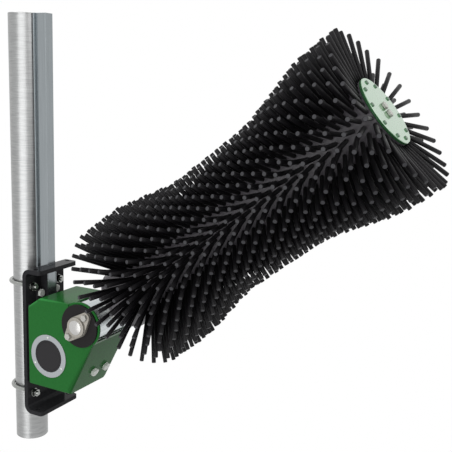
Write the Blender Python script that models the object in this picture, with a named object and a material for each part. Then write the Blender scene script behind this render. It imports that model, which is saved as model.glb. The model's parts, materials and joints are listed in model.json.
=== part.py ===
"""Rotating cow brush on a post bracket.

A galvanised post carries a folded bracket plate, held by two U-bolts. A painted housing
on the plate holds a horizontal pivot drum, and the drum's arm carries an hourglass brush
that swings up about the drum and spins about its own slanted axis.

Axes: X runs out from the post through the bracket plate, Y across it, Z up.
Origin: on the post's axis, half-way up the bracket plate. All lengths are in metres.
"""

import math

import bmesh
import bpy
from mathutils import Matrix, Vector

# Fits
GAP = 0.0003
RUN_GAP = 0.001

# Post and its length in the assembly
POST_R = 0.03805
POST_WALL = 0.0032
POST_BELOW = 0.264
POST_ABOVE = 0.7495

# Bracket plate, bent from flat bar
PLATE_T = 0.010
PLATE_W = 0.132
PLATE_H = 0.352
FLANGE_REACH = 0.052
BEND_R = 0.010
FLANGE_CORNER_R = 0.008
FLANGE_HOLE_R = 0.0055
FLANGE_HOLE_EDGE = 0.011
FLANGE_HOLE_TIP = 0.021

# U-bolts
ROD_R = 0.0045
U_BEND_R = 0.0445
U_FROM_END = 0.045
U_LEVEL = PLATE_H / 2 - U_FROM_END
U_HOLE_R = 0.0055
U_WASHER_R = 0.0105
U_WASHER_T = 0.002
U_NUT_FLATS = 0.017
U_NUT_H = 0.008
U_THREAD_PROUD = 0.004

# Cable duct
DUCT_W = 0.024
DUCT_DEPTH = 0.031
DUCT_WALL = 0.002
DUCT_BASE_W = 0.036
DUCT_BASE_T = 0.003
DUCT_GUIDE_WALL = 0.003
DUCT_GUIDE_BACK = 0.002
DUCT_SIDE_GAP = 0.0005
DUCT_FOOT_Z = U_LEVEL - 0.0287

# Pivot drum
PIVOT_X = 0.2073
PIVOT_Z = U_LEVEL - 0.0607
DRUM_R = 0.0485
DRUM_WALL = 0.004
DRUM_END_T = 0.006
SHAFT_R = 0.010

# Housing, welded from folded sheet on a back plate
BACK_T = 0.008
BACK_W = 0.120
BACK_EAR_W = 0.067
BACK_EAR_TOP = U_LEVEL - 0.008
BACK_BOTTOM = 0.033 - U_LEVEL
SHEET = 0.004
SHELL_W = 0.135
SHELL_BOTTOM = 0.0305 - U_LEVEL
SHELL_TOP = U_LEVEL - 0.0164
SHELL_CHAMFER_RUN = 0.035
SHELL_CHAMFER_DROP = 0.0231
SHELL_BACK_LIP = 0.0155
SLANT_ANGLE = math.radians(63.3)
SLANT_OFFSET = 0.0484
NOSE_R = 0.0540
DRUM_CLEAR = 0.0018
FOLD_R = 0.007
RELIEF_R = 0.004
SLIT_W = 0.002
SLIT_DEPTH = 0.009
SHAFT_HOLE_R = 0.013

# Bolts of the housing
M10_R = 0.005
M10_FLATS = 0.017
M10_HEAD = 0.0064
M12_R = 0.006
M12_FLATS = 0.019
M12_HEAD = 0.0075
M8_R = 0.004
M8_FLATS = 0.013
M8_HEAD = 0.0053
HOLE_CLEAR = 0.0003
MOUNTING_BOLT_Y = 0.026
MOUNTING_BOLT_Z = U_LEVEL - 0.0185

# Stops of the swing
STOP_Y = 0.0157
STOP_W = 0.030
LEVER_REACH = 0.118
LEVER_T = 0.014
BUFFER_BOLT_SPACING = 0.043
BUFFER_BOLT_UP = 0.047
UPPER_BUFFER_T = 0.0147
UPPER_BUFFER_LENGTH = 0.030
UPPER_BUFFER_W = 0.070
REST_BUFFER_T = 0.010
REST_BUFFER_FROM = 0.080
REST_BUFFER_TO = 0.112
SWING = math.radians(35.0)

# Bearings of the drum
DISC_R = 0.0492
DISC_T = 0.004
FLANGE_T = 0.008
FLANGE_LOBE = 0.034
FLANGE_LOBE_R = 0.0115
FLANGE_TURN = math.radians(48.2)
HUB_R = 0.024
HUB_H = 0.008
HUB_STEP = 0.005
HUB_DOME_R = 0.0165
HUB_CAP = 0.004
INSERT_R = 0.0170

# Badge place on the near side
BADGE_X = 0.1158
BADGE_Z = -0.0192
BADGE_R = 0.0509
BADGE_INNER_R = 0.0382
BADGE_T = 0.0015
RIVET_CIRCLE_R = 0.0446
RIVET_R = 0.0026
RIVET_SHANK_R = 0.0016
RIVET_HEAD = 0.0012

# Arm and drive inside the brush; distances run from the pivot along the brush axis
BRUSH_TILT = math.radians(38.13)
ARM_R = 0.02415
ARM_WALL = 0.00415
ARM_FROM = 0.014
ARM_TO = 0.160
MOUNT_R = 0.046
MOUNT_T = 0.008
MOTOR_R = 0.046
MOTOR_LENGTH = 0.270
GEARBOX_R = 0.044
GEARBOX_LENGTH = 0.130
OUTPUT_R = 0.0125
OUTPUT_IN_GEARBOX = 0.030
HUB_DISC_R = 0.034
HUB_DISC_T = 0.020
OUTPUT_IN_HUB = 0.012
HUB_BOLT_OFFSET = 0.0083
HUB_BOLT_GRIP = 0.006

# Brush
CORE_R = 0.070
CORE_WALL = 0.005
CORE_FROM = 0.095
CORE_LENGTH = 0.7097
NEAR_DISC_T = 0.008
CORE_BEARING_R = 0.030
FAR_DISC_R = 0.0707
FAR_DISC_T = 0.006
FIRST_RING_IN = 0.0622
LAST_RING_IN = 0.0055
SLEEVE_R = 0.0753
WAIST_R = 0.136
END_R = 0.1725
FLARE_START = 0.25
FLARE_END = 0.87
SECTION_RINGS = {"near": 11, "middle": 12, "far": 11}
RING_COUNT = sum(SECTION_RINGS.values())
BRISTLES_PER_RING = 16
BRISTLE_T = 0.0088
NEAR_LEAN = math.radians(17.9)
FAR_LEAN = math.radians(11)
LEAN_POWER = 3

# Facets
ROUND = 24
ROUND_LARGE = 36
ROUND_BOLT = 8
ROUND_ROD = 10
ROUND_BADGE = 38
U_STEPS = 16

# Worked out from the sizes above
WEB_BACK = POST_R + GAP
WEB_FRONT = WEB_BACK + PLATE_T
BACK_FRONT = WEB_FRONT + GAP + BACK_T
SHELL_BACK = BACK_FRONT + GAP
SHELL_HALF = SHELL_W / 2
CAVITY_HALF = SHELL_HALF - SHEET
DUCT_FRONT = WEB_BACK + DUCT_DEPTH
FLANGE_UNDER = PLATE_H / 2 - PLATE_T
SLOT_FLOOR = FLANGE_UNDER - BEND_R + 0.0017
DISC_OUT = SHELL_HALF + GAP + DISC_T
FLANGE_OUT = DISC_OUT + GAP + FLANGE_T
CORE_TO = CORE_FROM + CORE_LENGTH
FAR_DISC_FACE = CORE_TO + GAP + FAR_DISC_T
FIRST_ROOT = CORE_FROM + FIRST_RING_IN
LAST_ROOT = CORE_TO - LAST_RING_IN
SLANT = Vector((math.cos(SLANT_ANGLE), 0, math.sin(SLANT_ANGLE)))
SLANT_OUT = Vector((math.sin(SLANT_ANGLE), 0, -math.cos(SLANT_ANGLE)))
PIVOT = Vector((PIVOT_X, 0, PIVOT_Z))
U_ROUND_HOLE = (ROD_R + GAP) / math.cos(math.pi / ROUND_BOLT)
DRUM_END_R = (DRUM_R - DRUM_WALL) * math.cos(math.pi / ROUND_LARGE) - GAP
CLEAR_R = DRUM_R + DRUM_CLEAR

# How a piece's own Z axis is turned into the model
ALONG_X = (0, math.pi / 2, 0)
TO_NEAR = (math.pi / 2, 0, 0)
TO_FAR = (-math.pi / 2, 0, 0)


def make_material(name, colour, roughness, metallic=0.0):
    """A Principled finish with a linear colour."""
    material = bpy.data.materials.new(name)
    material.use_nodes = True
    shader = material.node_tree.nodes["Principled BSDF"]
    shader.inputs["Base Color"].default_value = (*colour, 1)
    shader.inputs["Roughness"].default_value = roughness
    shader.inputs["Metallic"].default_value = metallic
    material.diffuse_color = (*colour, 1)
    return material


def make_object(bm, name, material, location=(0, 0, 0), rotation=(0, 0, 0), parent=None):
    """Turns a bmesh into a named object, shaded smooth between its sharp edges."""
    bmesh.ops.recalc_face_normals(bm, faces=bm.faces)
    mesh = bpy.data.meshes.new(name)
    bm.to_mesh(mesh)
    bm.free()
    mesh.shade_smooth()
    mesh.set_sharp_from_angle(angle=math.radians(32))
    mesh.materials.append(material)
    return place(mesh, name, location, rotation, parent)


def place(mesh, name, location=(0, 0, 0), rotation=(0, 0, 0), parent=None):
    """Puts a mesh in the scene as its own object."""
    obj = bpy.data.objects.new(name, mesh)
    bpy.context.scene.collection.objects.link(obj)
    obj.location = location
    obj.rotation_euler = rotation
    obj.parent = parent
    return obj


def make_empty(name, location, rotation=(0, 0, 0), parent=None):
    """A guide that carries the pieces of one joint."""
    empty = bpy.data.objects.new(name, None)
    bpy.context.scene.collection.objects.link(empty)
    empty.location = location
    empty.rotation_euler = rotation
    empty.parent = parent
    return empty


def prism(outline, low, high):
    """A closed outline in XY, drawn out from low to high along Z."""
    bm = bmesh.new()
    base = bm.faces.new([bm.verts.new((x, y, low)) for x, y in outline])
    drawn = bmesh.ops.extrude_face_region(bm, geom=[base])
    rising = [v for v in drawn["geom"] if isinstance(v, bmesh.types.BMVert)]
    bmesh.ops.translate(bm, verts=rising, vec=(0, 0, high - low))
    return bm


def turned(profile, steps=ROUND):
    """A profile of (radius, height) points, spun round Z into a closed body."""
    bm = bmesh.new()
    verts = [bm.verts.new((radius, 0, height)) for radius, height in profile]
    ends = list(zip(verts, verts[1:]))
    if profile[0][0] > 0 or profile[-1][0] > 0:
        ends.append((verts[-1], verts[0]))
    edges = [bm.edges.new(pair) for pair in ends]
    bmesh.ops.spin(
        bm, geom=verts + edges, cent=(0, 0, 0), axis=(0, 0, 1),
        angle=2 * math.pi, steps=steps, use_merge=True,
    )
    bmesh.ops.remove_doubles(bm, verts=bm.verts, dist=0.00001)
    return bm


def cylinder(radius, low, high, steps=ROUND):
    """A plain round bar along Z."""
    return turned([(0, low), (radius, low), (radius, high), (0, high)], steps)


def ring(inner, outer, low, high, steps=ROUND):
    """A plain tube along Z."""
    return turned([(inner, low), (outer, low), (outer, high), (inner, high)], steps)


def box(low, high):
    """A block between two corners."""
    bm = bmesh.new()
    bmesh.ops.create_cube(bm, size=1)
    low, high = Vector(low), Vector(high)
    bmesh.ops.scale(bm, vec=high - low, verts=bm.verts)
    bmesh.ops.translate(bm, vec=(low + high) / 2, verts=bm.verts)
    return bm


def arc(centre, radius, start, end, steps):
    """Points of an arc in a plane, both ends included."""
    return [
        (
            centre[0] + radius * math.cos(start + (end - start) * i / steps),
            centre[1] + radius * math.sin(start + (end - start) * i / steps),
        )
        for i in range(steps + 1)
    ]


def combine(obj, bm, operation="DIFFERENCE", location=(0, 0, 0), rotation=(0, 0, 0)):
    """Cuts a body out of an object, or joins it on, and keeps the result as its mesh."""
    bmesh.ops.recalc_face_normals(bm, faces=bm.faces)
    mesh = bpy.data.meshes.new("tool")
    bm.to_mesh(mesh)
    bm.free()
    tool = place(mesh, "tool", location, rotation, obj.parent)
    modifier = obj.modifiers.new(operation.title(), "BOOLEAN")
    modifier.operation = operation
    modifier.object = tool
    bpy.context.view_layer.update()
    result = bpy.data.meshes.new_from_object(obj.evaluated_get(bpy.context.evaluated_depsgraph_get()))
    obj.modifiers.clear()
    obj.data = result
    bpy.data.objects.remove(tool)
    return obj


def hexagon(flats):
    """The six corners of a hexagon by its width across flats."""
    corner = flats / math.sqrt(3)
    return [(corner * math.cos(a), corner * math.sin(a)) for a in (i * math.pi / 3 for i in range(6))]


def make_bolt_mesh(flats, head, radius, length, material):
    """A hexagon bolt: the head stands on Z = 0 and the shank hangs below it."""
    bolt = make_object(prism(hexagon(flats), 0, head), "bolt", material)
    combine(bolt, cylinder(radius, -length, head / 2, ROUND_BOLT), "UNION")
    mesh = bolt.data
    bpy.data.objects.remove(bolt)
    mesh.shade_smooth()
    mesh.set_sharp_from_angle(angle=math.radians(32))
    return mesh


def make_nut_mesh(flats, height, bore, material):
    """A hexagon nut with its hole."""
    nut = make_object(prism(hexagon(flats), 0, height), "nut", material)
    combine(nut, cylinder(bore, -height, 2 * height, ROUND_BOLT))
    mesh = nut.data
    bpy.data.objects.remove(nut)
    return mesh


def slant_point(along, inward):
    """A point near the housing's slanted front: up its slope from the pivot's foot, and in from it."""
    return PIVOT + SLANT_OUT * (SLANT_OFFSET - inward) + SLANT * along


def slant_at(height, inward):
    """Where the slanted front, moved inward, crosses a height."""
    foot = slant_point(0, inward)
    along = (height - foot.z) / SLANT.z
    return (foot.x + along * SLANT.x, height)


def flat(point):
    """The X and Z of a point, for outlines drawn from the side."""
    return (point[0], point[2])


def make_post(zinc):
    make_object(ring(POST_R - POST_WALL, POST_R, -POST_BELOW, POST_ABOVE, ROUND_LARGE), "post", zinc)


def make_bracket_plate(black):
    """A C of thick bar: the web on the post, a flange out at the top and the bottom."""
    half = PLATE_H / 2
    tip = WEB_BACK + FLANGE_REACH
    outer = BEND_R + PLATE_T
    bend = (WEB_BACK + outer, half - outer)
    low_bend = (bend[0], -bend[1])
    quarter = math.pi / 2
    outline = [(tip, half)]
    outline += arc(bend, outer, quarter, 2 * quarter, 8)
    outline += arc(low_bend, outer, 2 * quarter, 3 * quarter, 8)
    outline += [(tip, -half), (tip, -half + PLATE_T)]
    outline += arc(low_bend, BEND_R, 3 * quarter, 2 * quarter, 6)
    outline += arc(bend, BEND_R, 2 * quarter, quarter, 6)
    outline += [(tip, half - PLATE_T)]
    bm = prism(outline, -PLATE_W / 2, PLATE_W / 2)
    corners = [
        e for e in bm.edges
        if all(abs(v.co.x - tip) < GAP for v in e.verts)
        and abs(e.verts[0].co.z - e.verts[1].co.z) < GAP
        and abs(e.verts[0].co.y - e.verts[1].co.y) > PLATE_T / 2
    ]
    bmesh.ops.bevel(
        bm, geom=corners, offset=FLANGE_CORNER_R, segments=4, profile=0.5, affect="EDGES",
    )
    plate = make_object(bm, "bracket_plate", black, rotation=TO_NEAR)
    long = PLATE_T * 3
    for side in (-1, 1):
        for level in (-1, 1):
            combine(
                plate, cylinder(U_HOLE_R, -long, long, ROUND_BOLT),
                location=(WEB_FRONT, side * U_BEND_R, level * U_LEVEL), rotation=ALONG_X,
            )
            combine(
                plate, cylinder(FLANGE_HOLE_R, -long, long, ROUND_BOLT),
                location=(tip - FLANGE_HOLE_TIP, side * (PLATE_W / 2 - FLANGE_HOLE_EDGE), level * half),
            )
        combine(
            plate, cylinder(M10_R + HOLE_CLEAR, -long, long, ROUND_BOLT),
            location=(WEB_FRONT, side * MOUNTING_BOLT_Y, MOUNTING_BOLT_Z), rotation=ALONG_X,
        )
    slot_half = DUCT_W / 2 + DUCT_SIDE_GAP
    combine(plate, box((0, -slot_half, SLOT_FLOOR), (DUCT_FRONT + GAP, slot_half, PLATE_H)))


def make_u_bolt(name, level, zinc):
    """A bent rod: round the back of the post and out through the web on both sides."""
    centre_x = U_BEND_R - ROD_R - POST_R - GAP
    leg_end = WEB_FRONT + U_WASHER_T + U_NUT_H + 3 * GAP + U_THREAD_PROUD
    path = [((leg_end, -U_BEND_R), (0, -1))]
    for i in range(U_STEPS + 1):
        angle = -math.pi / 2 - math.pi * i / U_STEPS
        out = (math.cos(angle), math.sin(angle))
        path.append(((centre_x + U_BEND_R * out[0], U_BEND_R * out[1]), out))
    path.append(((leg_end, U_BEND_R), (0, 1)))
    bm = bmesh.new()
    loops = []
    for (x, y), (out_x, out_y) in path:
        loop = []
        for i in range(ROUND_ROD):
            angle = 2 * math.pi * i / ROUND_ROD
            across = ROD_R * math.cos(angle)
            loop.append(bm.verts.new((x + out_x * across, y + out_y * across, ROD_R * math.sin(angle))))
        loops.append(loop)
    for first, second in zip(loops, loops[1:]):
        for i in range(ROUND_ROD):
            j = (i + 1) % ROUND_ROD
            bm.faces.new((first[i], first[j], second[j], second[i]))
    bm.faces.new(loops[0])
    bm.faces.new(loops[-1])
    make_object(bm, name, zinc, location=(0, 0, level))


def make_u_bolts(zinc):
    nut = make_nut_mesh(U_NUT_FLATS, U_NUT_H, U_ROUND_HOLE, zinc)
    washer_x = WEB_FRONT + GAP
    nut_x = washer_x + U_WASHER_T + GAP
    for row, level in (("upper", U_LEVEL), ("lower", -U_LEVEL)):
        make_u_bolt(f"u_bolt_{row}", level, zinc)
        for side, y in (("near", -U_BEND_R), ("far", U_BEND_R)):
            bm = ring(U_ROUND_HOLE, U_WASHER_R, 0, U_WASHER_T, ROUND_BOLT)
            make_object(bm, f"u_washer_{row}_{side}", zinc, (washer_x, y, level), ALONG_X)
            place(nut, f"u_nut_{row}_{side}", (nut_x, y, level), ALONG_X)


def make_duct(aluminium, black):
    """A foot strip on the post, the cover over the cable, and the guide under the flange."""
    foot = box(
        (WEB_BACK, -DUCT_BASE_W / 2, PLATE_H / 2 - BEND_R + 0.002),
        (WEB_BACK + DUCT_BASE_T, DUCT_BASE_W / 2, POST_ABOVE),
    )
    make_object(foot, "duct_base", aluminium)
    half = DUCT_W / 2
    back = WEB_BACK + DUCT_BASE_T + GAP
    inner = half - DUCT_WALL
    outline = [
        (back, half), (back, inner), (DUCT_FRONT - DUCT_WALL, inner), (DUCT_FRONT - DUCT_WALL, -inner),
        (back, -inner), (back, -half), (DUCT_FRONT, -half), (DUCT_FRONT, half),
    ]
    cover = make_object(prism(outline, DUCT_FOOT_Z, POST_ABOVE), "duct_cover", aluminium)
    guide_back = WEB_FRONT + GAP
    notch_front = guide_back + DUCT_GUIDE_BACK + GAP
    combine(cover, box((0, -DUCT_W, 0), (notch_front, DUCT_W, SLOT_FLOOR + GAP)))
    slide = half + DUCT_SIDE_GAP
    outside = slide + DUCT_GUIDE_WALL
    inside_x = guide_back + DUCT_GUIDE_BACK
    outline = [
        (guide_back, -outside), (DUCT_FRONT, -outside), (DUCT_FRONT, -slide), (inside_x, -slide),
        (inside_x, slide), (DUCT_FRONT, slide), (DUCT_FRONT, outside), (guide_back, outside),
    ]
    guide = make_object(prism(outline, DUCT_FOOT_Z, FLANGE_UNDER - GAP), "duct_guide", black)
    start = FLANGE_UNDER - BEND_R - GAP
    far = start + 3 * BEND_R
    corner = [(guide_back - BEND_R, start - BEND_R), (guide_back - BEND_R + 4 * BEND_R, far), (0, far)]
    combine(guide, prism(corner, -DUCT_W, DUCT_W), rotation=TO_NEAR)


def make_back_plate(black, zinc):
    """The flat plate that the housing is welded to, with an ear for the two bolts."""
    half, ear = BACK_W / 2, BACK_EAR_W / 2
    shoulder = SHELL_TOP - SHELL_CHAMFER_DROP
    notch = DUCT_W / 2 + DUCT_SIDE_GAP + DUCT_GUIDE_WALL + GAP
    floor = DUCT_FOOT_Z - GAP
    outline = [
        (-half, BACK_BOTTOM), (half, BACK_BOTTOM), (half, shoulder), (ear, shoulder),
        (ear, BACK_EAR_TOP), (notch, BACK_EAR_TOP), (notch, floor), (-notch, floor),
        (-notch, BACK_EAR_TOP), (-ear, BACK_EAR_TOP), (-ear, shoulder), (-half, shoulder),
    ]
    outline = [(-z, y) for y, z in outline]
    plate = make_object(prism(outline, 0, BACK_T), "back_plate", black, (WEB_FRONT + GAP, 0, 0), ALONG_X)
    bolt = make_bolt_mesh(M10_FLATS, M10_HEAD, M10_R, BACK_T + PLATE_T, zinc)
    for side, y in (("near", -MOUNTING_BOLT_Y), ("far", MOUNTING_BOLT_Y)):
        combine(
            plate, cylinder(M10_R + HOLE_CLEAR, -BACK_T, 2 * BACK_T, ROUND_BOLT),
            location=(WEB_FRONT + GAP, y, MOUNTING_BOLT_Z), rotation=ALONG_X,
        )
        place(bolt, f"mounting_bolt_{side}", (BACK_FRONT + GAP, y, MOUNTING_BOLT_Z), ALONG_X)


def shell_outline():
    """The housing from the side, as X and Z: a box with a slanted front and a round nose."""
    step = -math.sqrt(CLEAR_R ** 2 - SLANT_OFFSET ** 2) - 0.001
    lip = slant_point(step, 0)
    start = math.atan2(lip.z - PIVOT_Z, lip.x - PIVOT_X)
    end = math.pi - math.asin((SHELL_TOP - PIVOT_Z) / NOSE_R)
    outline = [(SHELL_BACK, SHELL_BOTTOM), slant_at(SHELL_BOTTOM, 0), flat(lip)]
    outline += arc((PIVOT_X, PIVOT_Z), NOSE_R, start, end, 22)
    outline += [
        (SHELL_BACK + SHELL_CHAMFER_RUN, SHELL_TOP),
        (SHELL_BACK, SHELL_TOP - SHELL_CHAMFER_DROP),
    ]
    return outline


def make_housing_shell(green):
    outline = shell_outline()
    bm = prism(outline, -SHELL_HALF, SHELL_HALF)
    top_front = outline[-3]
    corner = outline[1]
    folds = [(outline[0], corner), (corner, outline[2]), (outline[-2], top_front)]
    chosen = []
    for edge in bm.edges:
        ends = [v.co for v in edge.verts]
        if abs(ends[0].z - ends[1].z) > GAP:
            continue
        for start, end in folds:
            near = [
                min(math.dist(e.xy, start), math.dist(e.xy, end)) < GAP for e in ends
            ]
            if all(near) and math.dist(ends[0].xy, ends[1].xy) > FOLD_R:
                chosen.append(edge)
    bmesh.ops.bevel(bm, geom=chosen, offset=FOLD_R, segments=4, profile=0.5, affect="EDGES")
    bmesh.ops.triangulate(bm, faces=bm.faces)
    shell = make_object(bm, "housing_shell", green, rotation=TO_NEAR)

    inside = SHELL_BACK + SHEET
    far = PIVOT_X + 3 * NOSE_R
    high = SHELL_TOP + 3 * NOSE_R
    clear_inside = -math.sqrt(CLEAR_R ** 2 - (SLANT_OFFSET - SHEET) ** 2)
    clear_outside = -math.sqrt(CLEAR_R ** 2 - SLANT_OFFSET ** 2) - 0.002
    slope = (clear_outside - clear_inside) / SHEET
    out = slant_point(clear_outside + slope * SHEET, -SHEET)
    cavity = [
        (inside, SHELL_BOTTOM + SHEET), slant_at(SHELL_BOTTOM + SHEET, SHEET),
        flat(slant_point(clear_inside, SHEET)), flat(out), (far, out.z), (far, high),
        (top_front[0], high), (top_front[0], SHELL_TOP - SHEET),
        (SHELL_BACK + SHELL_CHAMFER_RUN, SHELL_TOP - SHEET), (SHELL_BACK + SHELL_CHAMFER_RUN, high),
        (inside, high),
    ]
    combine(shell, prism(cavity, -CAVITY_HALF, CAVITY_HALF), rotation=TO_NEAR)
    lip = SHELL_BACK_LIP
    combine(shell, box(
        (0, -CAVITY_HALF + lip, SHELL_BOTTOM + SHEET + lip), (inside + SHEET / 2, CAVITY_HALF - lip, high),
    ))
    combine(shell, cylinder(SHAFT_HOLE_R, -SHELL_W, SHELL_W, ROUND), location=PIVOT, rotation=TO_NEAR)
    for turn in (0, math.pi):
        lobe = flange_lobe(turn)
        hole = cylinder(M8_R + HOLE_CLEAR, -SHELL_W, SHELL_W, ROUND_BOLT)
        combine(shell, hole, location=lobe, rotation=TO_NEAR)
    for side in (-1, 1):
        outer, inner = side * (SHELL_HALF + SHEET), side * (CAVITY_HALF - SHEET)
        low, tall = min(outer, inner), max(outer, inner)
        relief = cylinder(RELIEF_R, low, tall, ROUND_BOLT)
        combine(shell, relief, location=(corner[0], 0, corner[1]), rotation=TO_NEAR)
        combine(shell, box(
            (top_front[0] - SLIT_W, low, SHELL_TOP - SLIT_DEPTH),
            (top_front[0] + SLIT_W / 4, tall, SHELL_TOP + SLIT_W),
        ))
    for index in range(3):
        x, z = rivet_place(index)
        combine(
            shell, cylinder(RIVET_SHANK_R + GAP, CAVITY_HALF - SHEET, SHELL_HALF + SHEET, ROUND_BOLT),
            location=(x, 0, z), rotation=TO_NEAR,
        )
    along = slant_along()
    turn = (0, math.pi / 2 - SLANT_ANGLE + math.pi / 2, 0)
    for y in buffer_bolt_places():
        spot = slant_point(along, 0)
        combine(
            shell, cylinder(M12_R + HOLE_CLEAR, -3 * SHEET, SHEET, ROUND_BOLT),
            location=(spot.x, y, spot.z), rotation=turn,
        )


def slant_along():
    """How far below the pivot's foot the buffer's bolts lie on the slanted front."""
    corner = slant_at(SHELL_BOTTOM, 0)
    foot = slant_point(0, 0)
    return -math.dist(corner, flat(foot)) + BUFFER_BOLT_UP


def buffer_bolt_places():
    return (STOP_Y - BUFFER_BOLT_SPACING / 2, STOP_Y + BUFFER_BOLT_SPACING / 2)


def flange_lobe(turn):
    """The centre of a bearing flange's bolt, seen from the side."""
    return PIVOT + FLANGE_LOBE * Vector((math.cos(FLANGE_TURN + turn), 0, math.sin(FLANGE_TURN + turn)))


def rivet_place(index):
    angle = math.pi / 2 + index * 2 * math.pi / 3
    return (BADGE_X + RIVET_CIRCLE_R * math.cos(angle), BADGE_Z + RIVET_CIRCLE_R * math.sin(angle))


def make_stops(steel, rubber, zinc):
    """The rest stop behind the lever and the upper buffer behind the slanted front."""
    max_reach = math.asin((SLANT_OFFSET - SHEET - GAP - UPPER_BUFFER_T - LEVER_T / 2 - GAP) / LEVER_REACH)
    lever_top = SLANT_ANGLE + math.pi + max_reach
    rest = lever_top - SWING
    out = Vector((math.cos(rest), 0, math.sin(rest)))
    behind = Vector((out.z, 0, -out.x))

    def spot(reach, offset):
        return flat(PIVOT + out * reach + behind * offset)

    face = LEVER_T / 2 + GAP
    pad = [
        spot(REST_BUFFER_FROM, face), spot(REST_BUFFER_TO, face),
        spot(REST_BUFFER_TO, face + REST_BUFFER_T), spot(REST_BUFFER_FROM, face + REST_BUFFER_T),
    ]
    low, high = -STOP_Y - STOP_W / 2, -STOP_Y + STOP_W / 2
    make_object(prism(pad, low, high), "rest_buffer", rubber, rotation=TO_NEAR)
    seat = face + REST_BUFFER_T + GAP
    tip, heel = spot(REST_BUFFER_FROM, seat), spot(REST_BUFFER_TO, seat)
    arm = [(SHELL_BACK, heel[1]), heel, tip, (SHELL_BACK, tip[1])]
    make_object(prism(arm, low, high), "stop_arm", steel, rotation=TO_NEAR)

    lever = [
        (DRUM_R - DRUM_WALL, -LEVER_T / 2), (LEVER_REACH, -LEVER_T / 2),
        (LEVER_REACH, LEVER_T / 2), (DRUM_R - DRUM_WALL, LEVER_T / 2),
    ]
    bm = prism(lever, low, high)
    bmesh.ops.rotate(bm, verts=bm.verts, cent=(0, 0, 0), matrix=Matrix.Rotation(rest, 3, "Z"))
    lever = make_object(bm, "stop_lever", steel, rotation=TO_NEAR, parent=SWING_GUIDE)
    combine(lever, cylinder(DRUM_R + GAP, 2 * low, -2 * low, ROUND_LARGE), rotation=TO_NEAR)

    along = slant_along()
    half = UPPER_BUFFER_LENGTH / 2
    near, deep = SHEET + GAP, SHEET + GAP + UPPER_BUFFER_T
    block = [
        flat(slant_point(along - half, near)), flat(slant_point(along + half, near)),
        flat(slant_point(along + half, deep)), flat(slant_point(along - half, deep)),
    ]
    low, high = -STOP_Y - UPPER_BUFFER_W / 2, -STOP_Y + UPPER_BUFFER_W / 2
    buffer = make_object(prism(block, low, high), "upper_buffer", rubber, rotation=TO_NEAR)
    grip = SHEET + UPPER_BUFFER_T * 0.6
    bolt = make_bolt_mesh(M12_FLATS, M12_HEAD, M12_R, grip, zinc)
    turn = (0, math.pi - SLANT_ANGLE, 0)
    spot_out = slant_point(along, -GAP)
    for side, y in zip(("near", "far"), buffer_bolt_places()):
        combine(
            buffer, cylinder(M12_R + HOLE_CLEAR, -grip - GAP, M12_HEAD, ROUND_BOLT),
            location=(spot_out.x, y, spot_out.z), rotation=turn,
        )
        place(bolt, f"buffer_bolt_{side}", (spot_out.x, y, spot_out.z), turn)


def rhombus_outline():
    """A two-bolt flange: the hub's circle drawn out to a small circle at each bolt."""
    spread = math.acos((HUB_R - FLANGE_LOBE_R) / FLANGE_LOBE)
    points = arc((FLANGE_LOBE, 0), FLANGE_LOBE_R, -spread, spread, 6)
    points += arc((0, 0), HUB_R, spread, math.pi - spread, 8)
    points += arc((-FLANGE_LOBE, 0), FLANGE_LOBE_R, math.pi - spread, math.pi + spread, 6)
    points += arc((0, 0), HUB_R, math.pi + spread, 2 * math.pi - spread, 8)
    return points


def make_bearings(black, cast, steel, zinc):
    """On each side: a black disc, a two-bolt cast flange with a closed cap, and its insert."""
    bolt = make_bolt_mesh(M8_FLATS, M8_HEAD, M8_R, FLANGE_T + DISC_T + SHEET + 2 * GAP, zinc)
    insert_from = GAP
    insert_to = HUB_H + FLANGE_T - HUB_CAP - GAP
    for side, turn, sign in (("near", TO_NEAR, 1), ("far", TO_FAR, -1)):
        out = -sign
        bm = ring(SHAFT_HOLE_R, DISC_R, 0, DISC_T, ROUND_LARGE)
        seat = PIVOT + Vector((0, out * (SHELL_HALF + GAP), 0))
        disc = make_object(bm, f"bearing_disc_{side}", black, seat, turn)
        bm = prism(rhombus_outline(), 0, FLANGE_T)
        bmesh.ops.rotate(bm, verts=bm.verts, matrix=Matrix.Rotation(sign * FLANGE_TURN, 3, "Z"))
        base = PIVOT + Vector((0, out * (DISC_OUT + GAP), 0))
        flange = make_object(bm, f"flange_bearing_{side}", cast, base, turn)
        top = FLANGE_T + HUB_H
        step, rim = FLANGE_T + HUB_STEP, HUB_R - 0.001
        dome = [
            (0, FLANGE_T / 2), (rim, FLANGE_T / 2), (rim, step - 0.0015), (rim - 0.0015, step),
            (HUB_DOME_R, step), (HUB_DOME_R - 0.001, top - 0.001), (HUB_DOME_R - 0.004, top), (0, top),
        ]
        combine(flange, turned(dome), "UNION", base, turn)
        combine(
            flange, cylinder(INSERT_R + GAP, -HUB_H, insert_to + GAP), location=base, rotation=turn,
        )
        insert = ring(SHAFT_R + GAP, INSERT_R, insert_from, insert_to, ROUND)
        make_object(insert, f"bearing_insert_{side}", steel, base, turn)
        for row, angle in (("upper", 0), ("lower", math.pi)):
            lobe = flange_lobe(angle)
            for piece in (disc, flange):
                combine(
                    piece, cylinder(M8_R + HOLE_CLEAR, -FLANGE_T * 3, FLANGE_T * 3, ROUND_BOLT),
                    location=(lobe.x, out * DISC_OUT, lobe.z), rotation=turn,
                )
            place(bolt, f"bearing_bolt_{side}_{row}", (lobe.x, out * (FLANGE_OUT + GAP), lobe.z), turn)


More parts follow.
